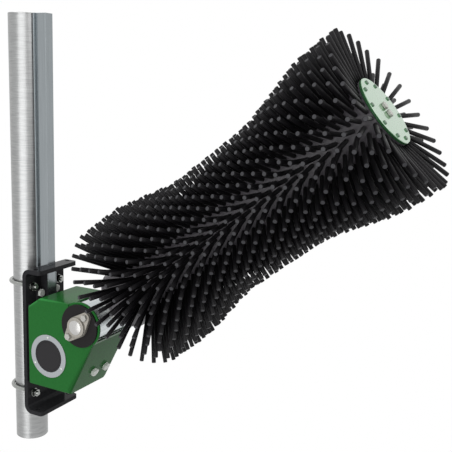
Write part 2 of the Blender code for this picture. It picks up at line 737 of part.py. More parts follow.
def make_badge(silver, dark, zinc):
    """A plain ring and a plain dark centre on the near side, held by three rivets."""
    face = -SHELL_HALF - GAP
    bm = ring(BADGE_INNER_R, BADGE_R, 0, BADGE_T, ROUND_BADGE)
    badge = make_object(bm, "badge_ring", silver, (BADGE_X, face, BADGE_Z), TO_NEAR)
    centre = cylinder(BADGE_INNER_R - 2 * GAP, 0, BADGE_T * 0.6, ROUND_BADGE)
    make_object(centre, "badge_disc", dark, (BADGE_X, face, BADGE_Z), TO_NEAR)
    grip = BADGE_T + GAP + SHEET
    for index in range(3):
        x, z = rivet_place(index)
        combine(
            badge, cylinder(RIVET_SHANK_R + GAP, -BADGE_T, 2 * BADGE_T, ROUND_BOLT),
            location=(x, face, z), rotation=TO_NEAR,
        )
        profile = [
            (0, -grip), (RIVET_SHANK_R, -grip), (RIVET_SHANK_R, GAP), (RIVET_R, GAP),
            (RIVET_R * 0.8, RIVET_HEAD * 0.7), (0, RIVET_HEAD),
        ]
        rivet = turned(profile, ROUND_BOLT)
        make_object(rivet, f"badge_rivet_{index + 1}", zinc, (x, face - BADGE_T, z), TO_NEAR)


def make_drum(steel, plain_steel):
    """The pivot tube with its two end discs, on the shaft that turns in the flange bearings."""
    half = CAVITY_HALF - RUN_GAP
    tube = ring(DRUM_R - DRUM_WALL, DRUM_R, -half, half, ROUND_LARGE)
    tube = make_object(tube, "drum_tube", steel, rotation=TO_NEAR, parent=SWING_GUIDE)
    combine(
        tube, cylinder(ARM_R + GAP, 0, 2 * DRUM_R, ROUND), rotation=(0, math.pi / 2 - BRUSH_TILT, 0),
    )
    for side, out in (("near", -1), ("far", 1)):
        bm = ring(SHAFT_R + GAP, DRUM_END_R, -DRUM_END_T / 2, DRUM_END_T / 2, ROUND)
        middle = out * (half - DRUM_END_T / 2)
        make_object(bm, f"drum_end_{side}", plain_steel, (0, middle, 0), TO_NEAR, SWING_GUIDE)
    reach = FLANGE_OUT + HUB_H - HUB_CAP - 4 * GAP
    shaft = cylinder(SHAFT_R, -reach, reach, ROUND)
    make_object(shaft, "pivot_shaft", plain_steel, rotation=TO_NEAR, parent=SWING_GUIDE)


def make_drive(steel, paint, cast):
    """The arm out of the drum and the gearmotor at its end, inside the brush.

    Returns how far along the brush the gearbox's bore for the shaft begins.
    """
    make_object(ring(ARM_R - ARM_WALL, ARM_R, ARM_FROM, ARM_TO), "arm_tube", steel, parent=BRUSH_GUIDE)
    make_object(
        ring(ARM_R + GAP, MOUNT_R, ARM_TO - MOUNT_T, ARM_TO), "motor_mount", steel, parent=BRUSH_GUIDE,
    )
    motor_from = ARM_TO + GAP
    motor_to = motor_from + MOTOR_LENGTH
    ends = 0.006
    motor = [
        (0, motor_from), (MOTOR_R - ends, motor_from), (MOTOR_R, motor_from + ends),
        (MOTOR_R, motor_to - ends), (MOTOR_R - ends, motor_to), (0, motor_to),
    ]
    make_object(turned(motor), "motor_body", paint, parent=BRUSH_GUIDE)
    box_from = motor_to + GAP
    box_to = box_from + GEARBOX_LENGTH
    bore_from = box_to - OUTPUT_IN_GEARBOX
    gearbox = [
        (0, box_from), (GEARBOX_R, box_from), (GEARBOX_R, box_to - 2 * ends), (GEARBOX_R - 2 * ends, box_to),
        (OUTPUT_R + GAP, box_to), (OUTPUT_R + GAP, bore_from), (0, bore_from),
    ]
    make_object(turned(gearbox), "gearbox", cast, parent=BRUSH_GUIDE)
    return bore_from


def make_brush(steel, paint_green, dark, zinc, bristle, bore_from):
    """Everything that spins: the shaft, its hub, the core with its end discs, and the bristles."""
    hub_from = CORE_TO - HUB_DISC_T
    make_object(
        cylinder(OUTPUT_R, bore_from + GAP, hub_from + OUTPUT_IN_HUB - GAP, ROUND), "output_shaft", steel,
        parent=BRUSH_GUIDE,
    )
    hub = make_object(
        turned([
            (0, hub_from + OUTPUT_IN_HUB), (OUTPUT_R + GAP, hub_from + OUTPUT_IN_HUB),
            (OUTPUT_R + GAP, hub_from),
            (HUB_DISC_R, hub_from), (HUB_DISC_R, CORE_TO), (0, CORE_TO),
        ]), "drive_hub", steel, parent=BRUSH_GUIDE,
    )
    disc = make_object(
        cylinder(FAR_DISC_R, CORE_TO + GAP, FAR_DISC_FACE, ROUND_LARGE), "far_end_disc", paint_green,
        parent=BRUSH_GUIDE,
    )
    bolt = make_bolt_mesh(M8_FLATS, M8_HEAD, M8_R, FAR_DISC_T + HUB_BOLT_GRIP, zinc)
    hole_from = CORE_TO - HUB_BOLT_GRIP - GAP
    for name, x in (("hub_bolt_upper", -HUB_BOLT_OFFSET), ("hub_bolt_lower", HUB_BOLT_OFFSET)):
        for piece in (hub, disc):
            hole = cylinder(M8_R + HOLE_CLEAR, hole_from, FAR_DISC_FACE + GAP, ROUND_BOLT)
            combine(piece, hole, location=(x, 0, 0))
        place(bolt, name, (x, 0, FAR_DISC_FACE + GAP), parent=BRUSH_GUIDE)
    near_to = CORE_FROM + NEAR_DISC_T
    make_object(
        ring(CORE_BEARING_R + GAP, CORE_R, CORE_FROM, near_to), "near_end_disc", dark, parent=BRUSH_GUIDE,
    )
    make_object(
        ring(ARM_R + GAP, CORE_BEARING_R, CORE_FROM, near_to), "core_bearing", steel, parent=BRUSH_GUIDE,
    )
    make_object(
        ring(CORE_R - CORE_WALL, CORE_R, near_to + GAP, CORE_TO), "core_tube", dark, parent=BRUSH_GUIDE,
    )
    first = 0
    for part, count in SECTION_RINGS.items():
        make_object(bristle_section(first, count), f"bristle_section_{part}", bristle, parent=BRUSH_GUIDE)
        first += count


def tip_radius(share):
    """The hourglass: a straight waist that swells smoothly to both ends; share runs from 0 to 1."""
    step = (abs(2 * share - 1) - FLARE_START) / (FLARE_END - FLARE_START)
    step = min(max(step, 0), 1)
    return WAIST_R + (END_R - WAIST_R) * step * step * (3 - 2 * step)


def bristle_ring(index):
    """A ring's height where its bristles leave the sleeve, its height and radius at the tips, and its angles.

    The rings near the ends lean outwards, as the bristles do, and every second ring is half a step round.
    """
    share = index / (RING_COUNT - 1)
    radius = tip_radius(share)
    most = NEAR_LEAN if share < 0.5 else FAR_LEAN
    lean = most * (2 * share - 1) ** LEAN_POWER
    root = FIRST_ROOT + share * (LAST_ROOT - FIRST_ROOT)
    tip = root + (radius - SLEEVE_R) * math.tan(lean)
    step = 2 * math.pi / BRISTLES_PER_RING
    angles = [step * (i + 0.5 * (index % 2)) for i in range(BRISTLES_PER_RING)]
    return root, tip, radius, angles


def sleeve_loop(bm, angles, radius, height):
    """A loop of points on the sleeve, two for each bristle, as (angle, point) pairs."""
    half = BRISTLE_T / 2 / SLEEVE_R
    loop = []
    for angle in angles:
        for turn in (angle - half, angle + half):
            point = (radius * math.cos(turn), radius * math.sin(turn), height)
            loop.append((turn, bm.verts.new(point)))
    return loop


def zip_loops(bm, low, high):
    """Joins two loops of the sleeve with triangles, always stepping the one that is behind."""
    count = len(low)
    i = j = 0
    while i < count or j < count:
        next_low = low[(i + 1) % count][0] + 2 * math.pi * ((i + 1) // count)
        next_high = high[(j + 1) % count][0] + 2 * math.pi * ((j + 1) // count)
        if j == count or (i < count and next_low <= next_high):
            bm.faces.new((low[i % count][1], low[(i + 1) % count][1], high[j % count][1]))
            i += 1
        else:
            bm.faces.new((low[i % count][1], high[(j + 1) % count][1], high[j % count][1]))
            j += 1


def bristle_section(first, count):
    """A short sleeve with its rings of bristles, as one closed body.

    The solid has half as many bristles in a ring as the brush has.
    """
    bm = bmesh.new()
    inner = (CORE_R + GAP) / math.cos(math.pi / BRISTLES_PER_RING - BRISTLE_T / 2 / SLEEVE_R)
    rings = [bristle_ring(first + i) for i in range(count)]
    low = rings[0][0] - BRISTLE_T / 2
    high = rings[-1][0] + BRISTLE_T / 2
    loops = []
    if first > 0:
        low = (bristle_ring(first - 1)[0] + rings[0][0] + GAP) / 2
        loops.append(sleeve_loop(bm, rings[0][3], SLEEVE_R, low))
    for root, tip, radius, angles in rings:
        below = sleeve_loop(bm, angles, SLEEVE_R, root - BRISTLE_T / 2)
        above = sleeve_loop(bm, angles, SLEEVE_R, root + BRISTLE_T / 2)
        if loops:
            zip_loops(bm, loops[-1], below)
        loops += [below, above]
        for i, angle in enumerate(angles):
            corners = [below[2 * i][1], below[2 * i + 1][1], above[2 * i + 1][1], above[2 * i][1]]
            out = Vector((math.cos(angle), math.sin(angle), 0))
            side = Vector((-out.y, out.x, 0)) * BRISTLE_T / 2
            rise = Vector((0, 0, BRISTLE_T / 2))
            centre = out * radius + Vector((0, 0, tip))
            ends = [
                bm.verts.new(centre + sideways + upwards)
                for sideways, upwards in ((-side, -rise), (side, -rise), (side, rise), (-side, rise))
            ]
            for k in range(4):
                m = (k + 1) % 4
                bm.faces.new((corners[k], corners[m], ends[m], ends[k]))
            bm.faces.new(ends)
            after = (2 * i + 2) % len(below)
            bm.faces.new((below[2 * i + 1][1], below[after][1], above[after][1], above[2 * i + 1][1]))
    if first + count < RING_COUNT:
        high = (rings[-1][0] + bristle_ring(first + count)[0] - GAP) / 2
        loops.append(sleeve_loop(bm, rings[-1][3], SLEEVE_R, high))
        zip_loops(bm, loops[-2], loops[-1])
    bore_low = sleeve_loop(bm, rings[0][3], inner, low)
    bore_high = sleeve_loop(bm, rings[-1][3], inner, high)
    zip_loops(bm, bore_low, bore_high)
    zip_loops(bm, bore_low, loops[0])
    zip_loops(bm, bore_high, loops[-1])
    return bm


def clear_scene():
    for obj in list(bpy.data.objects):
        bpy.data.objects.remove(obj)


clear_scene()
FINISHES = {
    "galvanised": make_material("galvanised steel", (0.62, 0.63, 0.63), 0.38, 0.9),
    "zinc": make_material("zinc-plated steel", (0.66, 0.66, 0.64), 0.32, 0.9),
    "aluminium": make_material("anodised aluminium", (0.36, 0.40, 0.41), 0.35, 0.7),
    "black": make_material("black powder coat", (0.012, 0.012, 0.013), 0.28),
    "green": make_material("green enamel on steel", (0.028, 0.155, 0.042), 0.3),
    "brushed": make_material("brushed steel", (0.55, 0.58, 0.58), 0.3, 1.0),
    "steel": make_material("plain steel", (0.35, 0.35, 0.34), 0.45, 1.0),
    "cast": make_material("cast bearing metal", (0.60, 0.58, 0.53), 0.4, 0.6),
    "rubber": make_material("black rubber", (0.02, 0.02, 0.02), 0.8),
    "silver": make_material("silver badge sheet", (0.50, 0.53, 0.55), 0.35, 0.6),
    "dark": make_material("dark grey enamel", (0.045, 0.042, 0.047), 0.4),
    "motor": make_material("grey motor paint", (0.12, 0.13, 0.14), 0.5),
    "bristle": make_material("black nylon", (0.011, 0.011, 0.012), 0.55),
}
SWING_GUIDE = make_empty("swing_axis", PIVOT)
BRUSH_GUIDE = make_empty("brush_axis", (0, 0, 0), (0, math.pi / 2 - BRUSH_TILT, 0), SWING_GUIDE)

make_post(FINISHES["galvanised"])
make_bracket_plate(FINISHES["black"])
make_u_bolts(FINISHES["zinc"])
make_duct(FINISHES["aluminium"], FINISHES["black"])
make_back_plate(FINISHES["black"], FINISHES["zinc"])
make_housing_shell(FINISHES["green"])
make_stops(FINISHES["steel"], FINISHES["rubber"], FINISHES["zinc"])
make_bearings(FINISHES["black"], FINISHES["cast"], FINISHES["steel"], FINISHES["zinc"])
make_badge(FINISHES["silver"], FINISHES["dark"], FINISHES["zinc"])
make_drum(FINISHES["brushed"], FINISHES["steel"])
BORE_FROM = make_drive(FINISHES["steel"], FINISHES["motor"], FINISHES["cast"])
make_brush(
    FINISHES["steel"], FINISHES["green"], FINISHES["dark"], FINISHES["zinc"], FINISHES["bristle"], BORE_FROM,
)
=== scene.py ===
# %% [markdown]
# # Rotating cow brush: the looks
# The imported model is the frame. Pieces whose facets would show are made again here with finer
# meshes in the same places, the bristles are grown with Geometry Nodes, and every surface gets
# a procedural material. All lengths are in metres.

import json
import math

import bmesh
import bpy
from mathutils import Matrix, Vector


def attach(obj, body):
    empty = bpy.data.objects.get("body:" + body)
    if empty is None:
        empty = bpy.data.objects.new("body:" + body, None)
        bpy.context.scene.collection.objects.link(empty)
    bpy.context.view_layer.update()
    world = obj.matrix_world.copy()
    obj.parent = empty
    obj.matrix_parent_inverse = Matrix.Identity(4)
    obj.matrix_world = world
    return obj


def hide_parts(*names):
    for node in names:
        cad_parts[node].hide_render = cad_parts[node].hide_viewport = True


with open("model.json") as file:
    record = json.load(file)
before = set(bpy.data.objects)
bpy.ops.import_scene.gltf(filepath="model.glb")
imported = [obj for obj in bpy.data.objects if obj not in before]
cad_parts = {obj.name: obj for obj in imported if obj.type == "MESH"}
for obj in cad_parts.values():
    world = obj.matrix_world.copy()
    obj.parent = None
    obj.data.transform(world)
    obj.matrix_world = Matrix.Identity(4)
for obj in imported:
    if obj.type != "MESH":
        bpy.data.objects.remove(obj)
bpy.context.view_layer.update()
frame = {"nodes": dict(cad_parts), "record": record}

# %% [markdown]
# ## Sizes
# These repeat the solids' own sizes, so that each finer piece lies where its solid does.

# %%
# The gap between neighbours, the post, the plates and the U-bolts.
GAP = 0.0003
POST_R, POST_WALL, POST_LOW, POST_HIGH = 0.03805, 0.0032, -0.264, 0.7495
WEB_FRONT = 0.04835
BACK_FRONT = WEB_FRONT + GAP + 0.008
ROD_R, U_BEND_R, U_LEVEL = 0.0045, 0.0445, 0.131
U_WASHER_R, U_WASHER_T, U_NUT_FLATS, U_NUT_H = 0.0105, 0.002, 0.017, 0.008

# The drum and its axis, the housing's half width and the near bearing, measured outwards.
PIVOT = Vector((0.2073, 0, 0.0703))
DRUM_R, DRUM_WALL, DRUM_HALF = 0.0485, 0.004, 0.0625
SHELL_HALF = 0.0675
DISC_R, DISC_T, DISC_BORE = 0.0492, 0.004, 0.013
DISC_OUT = SHELL_HALF + GAP + DISC_T
FLANGE_T, FLANGE_LOBE, FLANGE_LOBE_R = 0.008, 0.034, 0.0115
FLANGE_OUT = DISC_OUT + GAP + FLANGE_T
FLANGE_TURN = math.radians(48.2)
HUB_R, HUB_H, HUB_STEP, HUB_DOME_R = 0.024, 0.008, 0.005, 0.0165

# The badge place and its rivets.
BADGE = Vector((0.1158, -SHELL_HALF - GAP, -0.0192))
BADGE_R, BADGE_INNER_R, BADGE_T = 0.0509, 0.0382, 0.0015
RIVET_CIRCLE_R, RIVET_R, RIVET_HEAD = 0.0446, 0.0026, 0.0012
RIVET_SHANK_R, RIVET_DEPTH = 0.0016, 0.0058

# Where the housing's bolts sit, on its ears and on its slanted front.
EAR_BOLT_Y, EAR_BOLT_Z = 0.026, 0.1125
SLANT_ANGLE, SLANT_OFFSET, SHELL_LOW = math.radians(63.3), 0.0484, -0.1005
STOP_Y, BUFFER_BOLT_SPACING, BUFFER_BOLT_UP = 0.0157, 0.043, 0.047

# The arm and the brush core, along an axis that starts at the drum's and rises by the tilt.
TILT = math.radians(38.13)
ARM_R, ARM_WALL, ARM_TO = 0.02415, 0.00415, 0.160
CORE_R, CORE_WALL, CORE_FROM, CORE_LENGTH = 0.070, 0.005, 0.095, 0.7097
CORE_TO = CORE_FROM + CORE_LENGTH
NEAR_DISC_T, NEAR_DISC_BORE = 0.008, 0.0303
FAR_DISC_R, FAR_DISC_T = 0.0707, 0.006
FAR_DISC_FACE = CORE_TO + GAP + FAR_DISC_T
HUB_BOLT_OFFSET = 0.0083

# The bristles: their reach at the waist and the ends, their rings, and how far they lean at either end.
WAIST_R, END_R, FLARE_START, FLARE_END = 0.136, 0.1725, 0.25, 0.87
RING_COUNT, PER_RING, BRISTLE_R = 34, 32, 0.0044
FIRST_ROOT, LAST_ROOT = CORE_FROM + 0.0622, CORE_TO - 0.0055
NEAR_LEAN, FAR_LEAN, SLEEVE_R = math.radians(17.9), math.radians(11), 0.0753

# Bolts: width across flats, head height, shank radius and shank length.
EAR_BOLT = (0.017, 0.0064, 0.005, 0.018)
BUFFER_BOLT = (0.019, 0.0075, 0.006, 0.0128)
LOBE_BOLT = (0.013, 0.0053, 0.004, 0.0163)
LID_BOLT = (0.013, 0.0053, 0.004, 0.0115)

# Details that only the looks have.
SCREWS, SCREW_CIRCLE, SCREW_TURN = 10, 0.0605, math.radians(6)
BEND_R, BEND_START, SHORTEST_BEND = 0.0055, BACK_FRONT + 0.01, 0.015
THREAD_PITCH, THREAD_DEPTH, ROD_PAST_NUT = 0.00125, 0.00035, 0.004
GROOVE_IN, GROOVE_HALF = 0.0045, 0.0004
WANDER, TRIM = 0.022, 0.0022
SMOOTH_ANGLE = math.radians(28)

# %% [markdown]
# ## Camera
# The place and the lens come from a fit of the post, plate, housing and brush to the photograph.

# %%
AZIMUTH, ELEVATION, ROLL = math.radians(27.882), math.radians(10.7615), math.radians(1.8475)
CAMERA_PLACE = (1.2306, -1.3243, 0.6086)
forward = Vector((
    -math.sin(AZIMUTH) * math.cos(ELEVATION), math.cos(AZIMUTH) * math.cos(ELEVATION), -math.sin(ELEVATION),
))
level_right = Vector((math.cos(AZIMUTH), math.sin(AZIMUTH), 0))
level_up = level_right.cross(forward)
right = level_right * math.cos(ROLL) + level_up * math.sin(ROLL)
up = level_up * math.cos(ROLL) - level_right * math.sin(ROLL)
camera = bpy.data.objects.new("camera", bpy.data.cameras.new("camera"))
bpy.context.scene.collection.objects.link(camera)
camera.data.lens = 59.64
camera.data.sensor_width = 36
camera.data.clip_start = 0.01
turn = Matrix((right, up, -forward)).transposed().to_4x4()
camera.matrix_world = Matrix.Translation(CAMERA_PLACE) @ turn
bpy.context.scene.camera = camera

# %% [markdown]
# ## Materials
# Colours are written as they look on a screen and turned to linear light in one place.


# %%
def linear(code):
    """A colour such as 2e6b36 in linear light, with its alpha."""
    channels = [int(code[i:i + 2], 16) / 255 for i in (0, 2, 4)]
    return [c / 12.92 if c < 0.04045 else ((c + 0.055) / 1.055) ** 2.4 for c in channels] + [1.0]


def add(tree, kind, links=None, **values):
    """Adds a node, sets its properties, and its sockets by name or number from values or other sockets."""
    node = tree.nodes.new(kind)
    for key, value in values.items():
        setattr(node, key, value)
    for key, value in (links or {}).items():
        socket = node.inputs[key]
        if isinstance(value, bpy.types.NodeSocket):
            tree.links.new(value, socket)
        else:
            socket.default_value = value
    return node


def math_node(tree, operation, first, second=0.0, third=0.0, clamp=False):
    """The result of one math node."""
    links = {0: first, 1: second, 2: third}
    return add(tree, "ShaderNodeMath", links, operation=operation, use_clamp=clamp).outputs[0]


def finish_of(name, code, roughness, metallic=0.0, coat=0.0, specular=0.5):
    """A Principled material with plain values on its sockets."""
    material = bpy.data.materials.new(name)
    material.use_nodes = True
    material.diffuse_color = linear(code)
    shader = material.node_tree.nodes["Principled BSDF"]
    shader.inputs["Base Color"].default_value = linear(code)
    shader.inputs["Roughness"].default_value = roughness
    shader.inputs["Metallic"].default_value = metallic
    shader.inputs["Coat Weight"].default_value = coat
    shader.inputs["Coat Roughness"].default_value = 0.06
    shader.inputs["Specular IOR Level"].default_value = specular
    return material


def stretched_noise(tree, stretch):
    """Noise in object space, drawn out by a different amount along each axis."""
    place = add(tree, "ShaderNodeTexCoord").outputs["Object"]
    mapped = add(tree, "ShaderNodeMapping", {"Vector": place, "Scale": stretch}).outputs["Vector"]
    return add(
        tree, "ShaderNodeTexNoise", {"Vector": mapped, "Scale": 1.0, "Detail": 4.0, "Roughness": 0.55},
    ).outputs["Fac"]


def ranged(tree, value, low, high):
    """Maps a noise value, which mostly lies between 0.3 and 0.7, to a range."""
    return add(
        tree, "ShaderNodeMapRange",
        {"Value": value, "From Min": 0.3, "From Max": 0.7, "To Min": low, "To Max": high},
    ).outputs["Result"]


def two_tone(material, value, dark, light):
    """Colours the material between two tones by a value."""
    tree = material.node_tree
    mix = add(tree, "ShaderNodeMix", {0: value, 6: linear(dark), 7: linear(light)}, data_type="RGBA")
    tree.links.new(mix.outputs[2], tree.nodes["Principled BSDF"].inputs["Base Color"])


def vary_roughness(material, value, low, high):
    """Lets a value drive the roughness."""
    tree = material.node_tree
    tree.links.new(ranged(tree, value, low, high), tree.nodes["Principled BSDF"].inputs["Roughness"])


def bump(material, value, strength, distance):
    """Lets a value raise the surface a little."""
    tree = material.node_tree
    node = add(tree, "ShaderNodeBump", {"Height": value, "Strength": strength, "Distance": distance})
    tree.links.new(node.outputs["Normal"], tree.nodes["Principled BSDF"].inputs["Normal"])


def worn(material, stretch, dark, light, rough, strength, distance):
    """One noise, with so many cells to a metre along each axis, drives colour, roughness and a fine bump."""
    value = stretched_noise(material.node_tree, stretch)
    two_tone(material, ranged(material.node_tree, value, 0, 1), dark, light)
    vary_roughness(material, value, *rough)
    bump(material, value, strength, distance)


def paint_bend_light_and_shade(material, axis, painted_tone, share):
    """Paints a tone onto the rounded bends between the housing's two sides and the panels that face along an
    axis: a lighter tone there is a painted highlight, a darker one painted shade.
    """
    tree = material.node_tree
    colour = tree.nodes["Principled BSDF"].inputs["Base Color"]
    normal = add(
        tree, "ShaderNodeSeparateXYZ", {"Vector": add(tree, "ShaderNodeNewGeometry").outputs["Normal"]},
    ).outputs
    both = math_node(tree, "MULTIPLY", math_node(tree, "ABSOLUTE", normal["Y"]), normal[axis], clamp=True)
    amount = math_node(tree, "MULTIPLY", both, 2 * share, clamp=True)
    plain = colour.links[0].from_socket
    mix = add(tree, "ShaderNodeMix", {0: amount, 6: plain, 7: linear(painted_tone)}, data_type="RGBA")
    tree.links.new(mix.outputs[2], colour)


galvanised = finish_of("galvanised steel", "9b9c9c", 0.29, metallic=0.9)
worn(galvanised, (30, 30, 420), "8c8d8d", "a6a7a7", (0.28, 0.38), strength=0.08, distance=0.0002)
nut_zinc = finish_of("zinc-plated nut", "9a9c99", 0.22, metallic=1.0)
zinc = finish_of("zinc-plated steel", "cccfca", 0.34, metallic=0.15)
worn(zinc, (500, 500, 500), "c0c4be", "d5d8d3", (0.28, 0.4), strength=0.06, distance=0.0001)
dull_zinc = finish_of("dull zinc-plated bolt", "a6a5a0", 0.4, metallic=0.15)
aluminium = finish_of("anodised aluminium", "90969a", 0.2, metallic=0.9)
worn(aluminium, (900, 900, 9), "8a9093", "969c9f", (0.16, 0.24), strength=0.05, distance=0.0001)
black_coat = finish_of("black gloss coat", "272729", 0.14, specular=0.05)
worn(black_coat, (220, 220, 220), "232325", "2b2b2d", (0.11, 0.18), strength=0.05, distance=0.0001)
green = finish_of("green gloss enamel", "225f2a", 0.16, specular=0.055)
worn(green, (240, 240, 240), "205c28", "24622c", (0.13, 0.19), strength=0.02, distance=0.0001)
# The bends to the top get a lighter green, a painted highlight; the bends to the slanted front get a darker
# green, painted shade.
paint_bend_light_and_shade(green, "Z", "348040", 0.9)
paint_bend_light_and_shade(green, "X", "15471b", 0.8)
# The rim's green is the disc's own green painted darker as shade.
rim_green_shaded = finish_of("green enamel on the end disc's rim, painted darker as shade", "27522f", 0.35, specular=0.2)
disc_green = finish_of("green enamel on the end disc", "3f8449", 0.2, coat=1.0, specular=0.9)
disc_green.node_tree.nodes["Principled BSDF"].inputs["Coat IOR"].default_value = 2.2
brushed = finish_of("brushed steel", "c2c8c9", 0.26, metallic=1.0)
worn(brushed, (700, 6, 700), "aab1b3", "d6dbdc", (0.2, 0.34), strength=0.1, distance=0.0001)
steel = finish_of("plain turned steel", "a9a9a7", 0.38, metallic=1.0)
cast = finish_of("painted cast metal", "938f87", 0.42, metallic=0.35)
worn(cast, (420, 420, 420), "88847c", "9d9991", (0.34, 0.5), strength=0.3, distance=0.0002)
cast_bright = finish_of("bare turned dome of the casting", "b6b5b3", 0.24, metallic=0.55)
rubber = finish_of("black rubber", "232323", 0.8)
badge_silver = finish_of("silver badge sheet", "9ca0a3", 0.32, metallic=0.5)
badge_dark = finish_of("dark badge enamel", "232224", 0.34, specular=0.15)
dark_enamel = finish_of("dark grey enamel", "3f3c41", 0.42)
disc_dark = finish_of("dark disc enamel", "211f20", 0.4, specular=0.07)
motor_paint = finish_of("grey machine paint", "616466", 0.5)
nylon = finish_of("black nylon bristle", "121113", 0.45, specular=0.16)
# The bristles' cut ends are painted lighter than their sides as a highlight where they face the light.
nylon_tip_highlight = finish_of("cut end of a nylon bristle, painted lighter as a highlight", "343437", 0.5, specular=0.2)
# The screws' green tint is a painted reflection of the green disc around them.
greenish_screw_finish = finish_of("screw tinted green as a painted reflection of the disc", "5a705e", 0.3, metallic=0.3)

BY_SLOT = {
    "galvanised": galvanised, "zinc": zinc, "aluminium": aluminium, "black_coat": black_coat, "green": green,
    "brushed": brushed, "steel": steel, "cast": cast, "rubber": rubber, "silver": badge_silver,
    "dark": dark_enamel, "motor_paint": motor_paint, "bristle": nylon,
}

# %% [markdown]
# ## Solids that stay
# Every solid takes its slot's material. The flat ones keep their shape and get fine rounded edges, and
# the housing's bends get a wider rounding.

# %%
for part in frame["record"]["subparts"]:
    solid = frame["nodes"][part["node"]]
    solid.data.materials.clear()
    solid.data.materials.append(BY_SLOT[part["material_slot"]])


def edge_place(ends):
    """The two ends of an edge, rounded and sorted, so that edges in one place can be told."""
    return tuple(sorted(tuple(round(c, 5) for c in end) for end in ends))


def mark_bends(mesh):
    """Gives a bevel weight to the outer edges where the shell's two sides are bent over."""
    beside = {}
    for polygon in mesh.polygons:
        for key in polygon.edge_keys:
            place = edge_place([mesh.vertices[i].co for i in key])
            beside.setdefault(place, []).append(abs(polygon.normal.y))
    weights = mesh.attributes.new("bevel_weight_edge", "FLOAT", "EDGE")
    for edge in mesh.edges:
        ends = [mesh.vertices[i].co for i in edge.vertices]
        sides = beside[edge_place(ends)]
        outer = all(abs(end.y) > SHELL_HALF - 0.0001 for end in ends)
        long_enough = (ends[0] - ends[1]).length > SHORTEST_BEND
        in_front = max(end.x for end in ends) > BEND_START
        bent = min(sides) < 0.5 < max(sides)
        weights.data[edge.index].value = float(outer and long_enough and in_front and bent)


EDGE_WIDTHS = {
    "bracket_plate": 0.0012, "back_plate": 0.0008, "housing_shell": 0.0005, "duct_base": 0.0004,
    "duct_cover": 0.0004, "duct_guide": 0.0004, "stop_arm": 0.0006, "stop_lever": 0.0006,
    "rest_buffer": 0.0008, "upper_buffer": 0.0008,
}
for name, width in EDGE_WIDTHS.items():
    solid = frame["nodes"][name]
    solid.data.shade_smooth()
    if name == "housing_shell":
        mark_bends(solid.data)
    weld = solid.modifiers.new("weld", "WELD")
    weld.merge_threshold = 0.00001
    flats = solid.modifiers.new("flats", "DECIMATE")
    flats.decimate_type = "DISSOLVE"
    flats.angle_limit = math.radians(0.3)
    if name == "housing_shell":
        bends = solid.modifiers.new("bends", "BEVEL")
        bends.width = BEND_R
        bends.segments = 4
        bends.limit_method = "WEIGHT"
        bends.use_clamp_overlap = False
    edge = solid.modifiers.new("edge", "BEVEL")
    edge.width = width
    edge.segments = 2
    edge.limit_method = "ANGLE"
    edge.angle_limit = math.radians(32)
    edge.use_clamp_overlap = True
    even = solid.modifiers.new("even shading", "WEIGHTED_NORMAL")
    even.weight = 100
    even.keep_sharp = True

# The duct guide is black at its sides, and its front shows the duct's own metal.
guide = frame["nodes"]["duct_guide"].data
guide.materials.append(aluminium)
for polygon in guide.polygons:
    polygon.material_index = 1 if polygon.normal.x > 0.9 else 0

# %% [markdown]
# ## Tools for the finer pieces
# Each piece is drawn in its own axes and moved into place in its mesh, so its object stays at the origin.

# %%
ALONG_X = Matrix.Rotation(math.pi / 2, 4, "Y")
TO_NEAR = Matrix.Rotation(math.pi / 2, 4, "X")
TO_FAR = Matrix.Rotation(-math.pi / 2, 4, "X")
BRUSH = Matrix.Translation(PIVOT) @ Matrix.Rotation(math.pi / 2 - TILT, 4, "Y")


def at(x, y, z, rotation=None):
    """The place of a piece: a point, and how its own Z axis is turned."""
    return Matrix.Translation((x, y, z)) @ (rotation or Matrix.Identity(4))


def circle(bm, radius, height, count):
    """A loop of new vertices on a circle round Z."""
    angles = [2 * math.pi * i / count for i in range(count)]
    return [bm.verts.new((radius * math.cos(a), radius * math.sin(a), height)) for a in angles]


def bridge(bm, first, second):
    """The four-sided faces between two loops of one length."""
    for i in range(len(first)):
        j = (i + 1) % len(first)
        bm.faces.new((first[i], first[j], second[j], second[i]))


def lathe(profile, segments):
    """A (radius, height) profile turned round Z. It closes on itself unless both ends lie on the axis."""
    bm = bmesh.new()
    loops = [
        circle(bm, radius, height, segments) if radius else [bm.verts.new((0, 0, height))]
        for radius, height in profile
    ]
    pairs = list(zip(loops, loops[1:]))
    if profile[0][0] > 0:
        pairs.append((loops[-1], loops[0]))
    for first, second in pairs:
        for i in range(segments):
            j = (i + 1) % segments
            corners = [loop[k % len(loop)] for loop, k in ((first, i), (first, j), (second, j), (second, i))]
            bm.faces.new(list(dict.fromkeys(corners)))
    return bm


def bar(radius, low, high, edge=0.0004):
    """The profile of a round bar with small chamfers."""
    return [
        (0, low), (radius - edge, low), (radius, low + edge),
        (radius, high - edge), (radius - edge, high), (0, high),
    ]


def tube(inner, outer, low, high, edge=0.0004):
    """The profile of a tube with small chamfers."""
    return [
        (inner, low + edge), (inner + edge, low), (outer - edge, low), (outer, low + edge),
        (outer, high - edge), (outer - edge, high), (inner + edge, high), (inner, high - edge),
    ]


